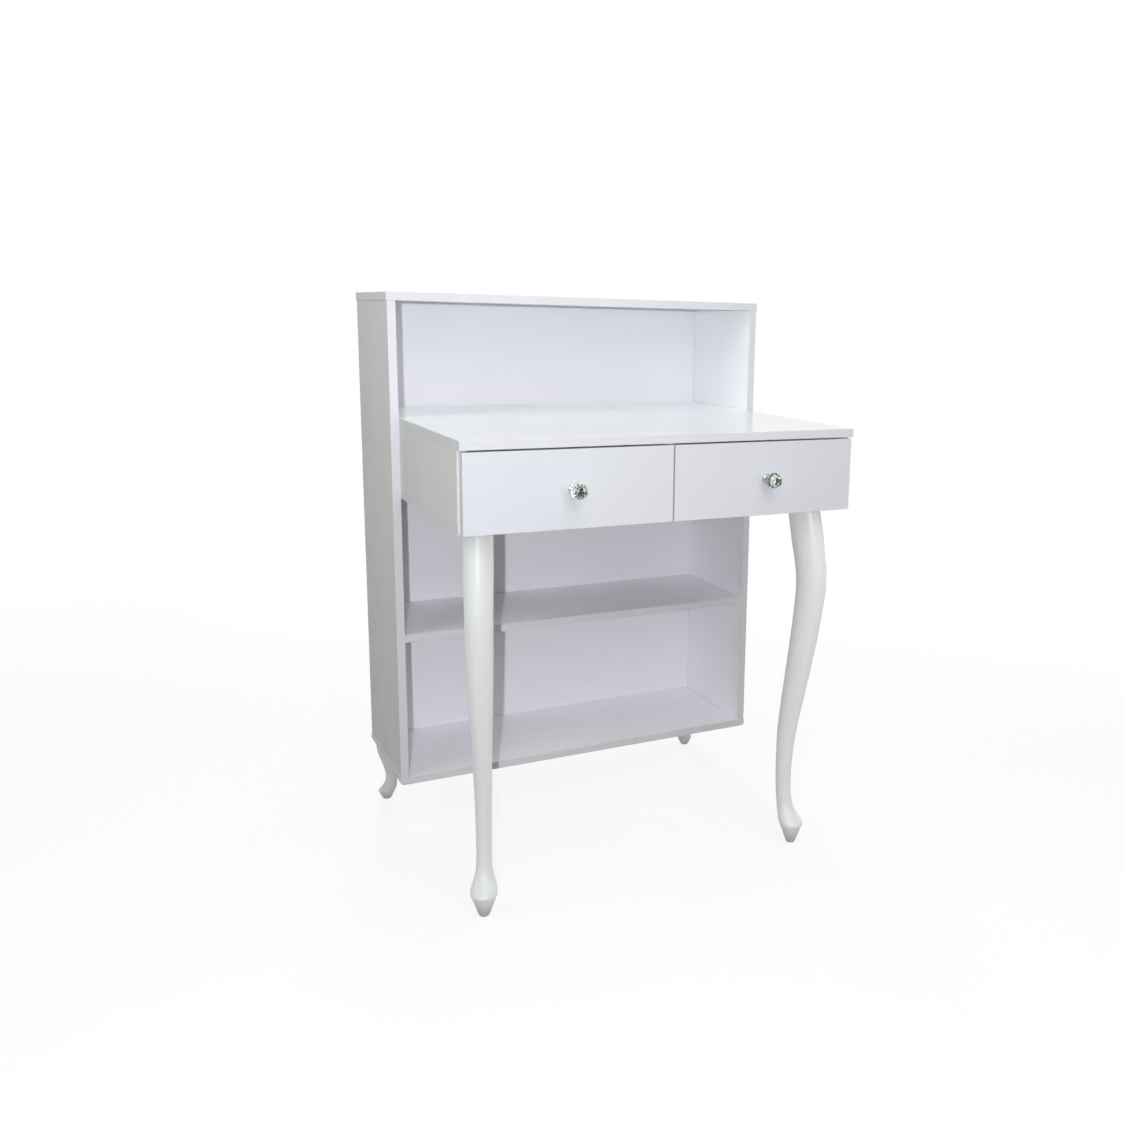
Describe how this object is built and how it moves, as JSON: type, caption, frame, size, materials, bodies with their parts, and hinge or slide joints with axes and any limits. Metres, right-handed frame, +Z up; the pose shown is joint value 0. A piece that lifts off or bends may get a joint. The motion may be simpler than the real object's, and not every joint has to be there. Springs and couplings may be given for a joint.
{
  "type": "reception desk",
  "caption": "White reception desk: a tall open shelf carcass with a raised counter, a worktop over side-by-side drawers with crystal knobs, and curved cabriole legs.",
  "frame": {"origin": "on the floor under the middle of the desk's outline", "axes": "+Z up, +X to the right as seen by the person at the drawers, drawers open towards -Y, the plain visitors' side faces +Y"},
  "size_m": [0.803, 0.724, 1.113],
  "materials": {
    "white_board": "satin white melamine",
    "leg_lacquer": "satin white lacquer",
    "hardboard": "white coated hardboard",
    "beech": "bare fluted wood",
    "runner_steel": "zinc plated",
    "zinc_steel": "zinc plated",
    "insert_brass": "turned",
    "glide_plastic": "moulded",
    "knob_metal": "polished chrome plate",
    "crystal": "cut clear crystal"
  },
  "bodies": {
    "desk": {"back_panel": "white_board", "bottom_panel": "white_board", "case_bottom": "white_board", "case_bottom_screws": "zinc_steel", "case_divider": "white_board", "case_left_side": "white_board", "case_right_side": "white_board", "case_runner_screws": "zinc_steel", "case_side_screws": "zinc_steel", "floor_glides": "glide_plastic", "left_drawer_left_runner_outer": "runner_steel", "left_drawer_right_runner_outer": "runner_steel", "left_front_leg": "leg_lacquer", "left_rear_foot": "leg_lacquer", "left_side_panel": "white_board", "leg_hanger_bolts": "zinc_steel", "leg_insert_nuts": "insert_brass", "middle_shelf": "white_board", "right_drawer_left_runner_outer": "runner_steel", "right_drawer_right_runner_outer": "runner_steel", "right_front_leg": "leg_lacquer", "right_rear_foot": "leg_lacquer", "right_side_panel": "white_board", "top_panel": "white_board", "wooden_dowels": "beech", "worktop": "white_board"},
    "left_drawer": {"left_drawer_back": "white_board", "left_drawer_bottom": "hardboard", "left_drawer_box_front": "white_board", "left_drawer_box_screws": "zinc_steel", "left_drawer_front": "white_board", "left_drawer_front_screws": "zinc_steel", "left_drawer_left_runner_inner": "runner_steel", "left_drawer_left_side": "white_board", "left_drawer_right_runner_inner": "runner_steel", "left_drawer_right_side": "white_board", "left_drawer_runner_screws": "zinc_steel", "left_knob_base": "knob_metal", "left_knob_crystal": "crystal", "left_knob_screw": "zinc_steel"},
    "right_drawer": {"right_drawer_back": "white_board", "right_drawer_bottom": "hardboard", "right_drawer_box_front": "white_board", "right_drawer_box_screws": "zinc_steel", "right_drawer_front": "white_board", "right_drawer_front_screws": "zinc_steel", "right_drawer_left_runner_inner": "runner_steel", "right_drawer_left_side": "white_board", "right_drawer_right_runner_inner": "runner_steel", "right_drawer_right_side": "white_board", "right_drawer_runner_screws": "zinc_steel", "right_knob_base": "knob_metal", "right_knob_crystal": "crystal", "right_knob_screw": "zinc_steel"},
    "left_drawer_left_runner_middle": {"left_drawer_left_runner_middle": "runner_steel"},
    "left_drawer_right_runner_middle": {"left_drawer_right_runner_middle": "runner_steel"},
    "right_drawer_left_runner_middle": {"right_drawer_left_runner_middle": "runner_steel"},
    "right_drawer_right_runner_middle": {"right_drawer_right_runner_middle": "runner_steel"}
  },
  "joints": [
    {"name": "left_drawer_slide", "type": "slide", "parent": "desk", "child": "left_drawer", "axis": [0, -1, 0], "range_m": [0, 0.4]},
    {"name": "right_drawer_slide", "type": "slide", "parent": "desk", "child": "right_drawer", "axis": [0, -1, 0], "range_m": [0, 0.4]},
    {"name": "left_drawer_left_runner_middle_slide", "type": "slide", "parent": "desk", "child": "left_drawer_left_runner_middle", "axis": [0, -1, 0], "range_m": [0, 0.2]},
    {"name": "left_drawer_right_runner_middle_slide", "type": "slide", "parent": "desk", "child": "left_drawer_right_runner_middle", "axis": [0, -1, 0], "range_m": [0, 0.2]},
    {"name": "right_drawer_left_runner_middle_slide", "type": "slide", "parent": "desk", "child": "right_drawer_left_runner_middle", "axis": [0, -1, 0], "range_m": [0, 0.2]},
    {"name": "right_drawer_right_runner_middle_slide", "type": "slide", "parent": "desk", "child": "right_drawer_right_runner_middle", "axis": [0, -1, 0], "range_m": [0, 0.2]}
  ],
  "couplings": [
    {"joint": "left_drawer_left_runner_middle_slide", "follows": "left_drawer_slide", "ratio": 0.5},
    {"joint": "left_drawer_right_runner_middle_slide", "follows": "left_drawer_slide", "ratio": 0.5},
    {"joint": "right_drawer_left_runner_middle_slide", "follows": "right_drawer_slide", "ratio": 0.5},
    {"joint": "right_drawer_right_runner_middle_slide", "follows": "right_drawer_slide", "ratio": 0.5}
  ]
}
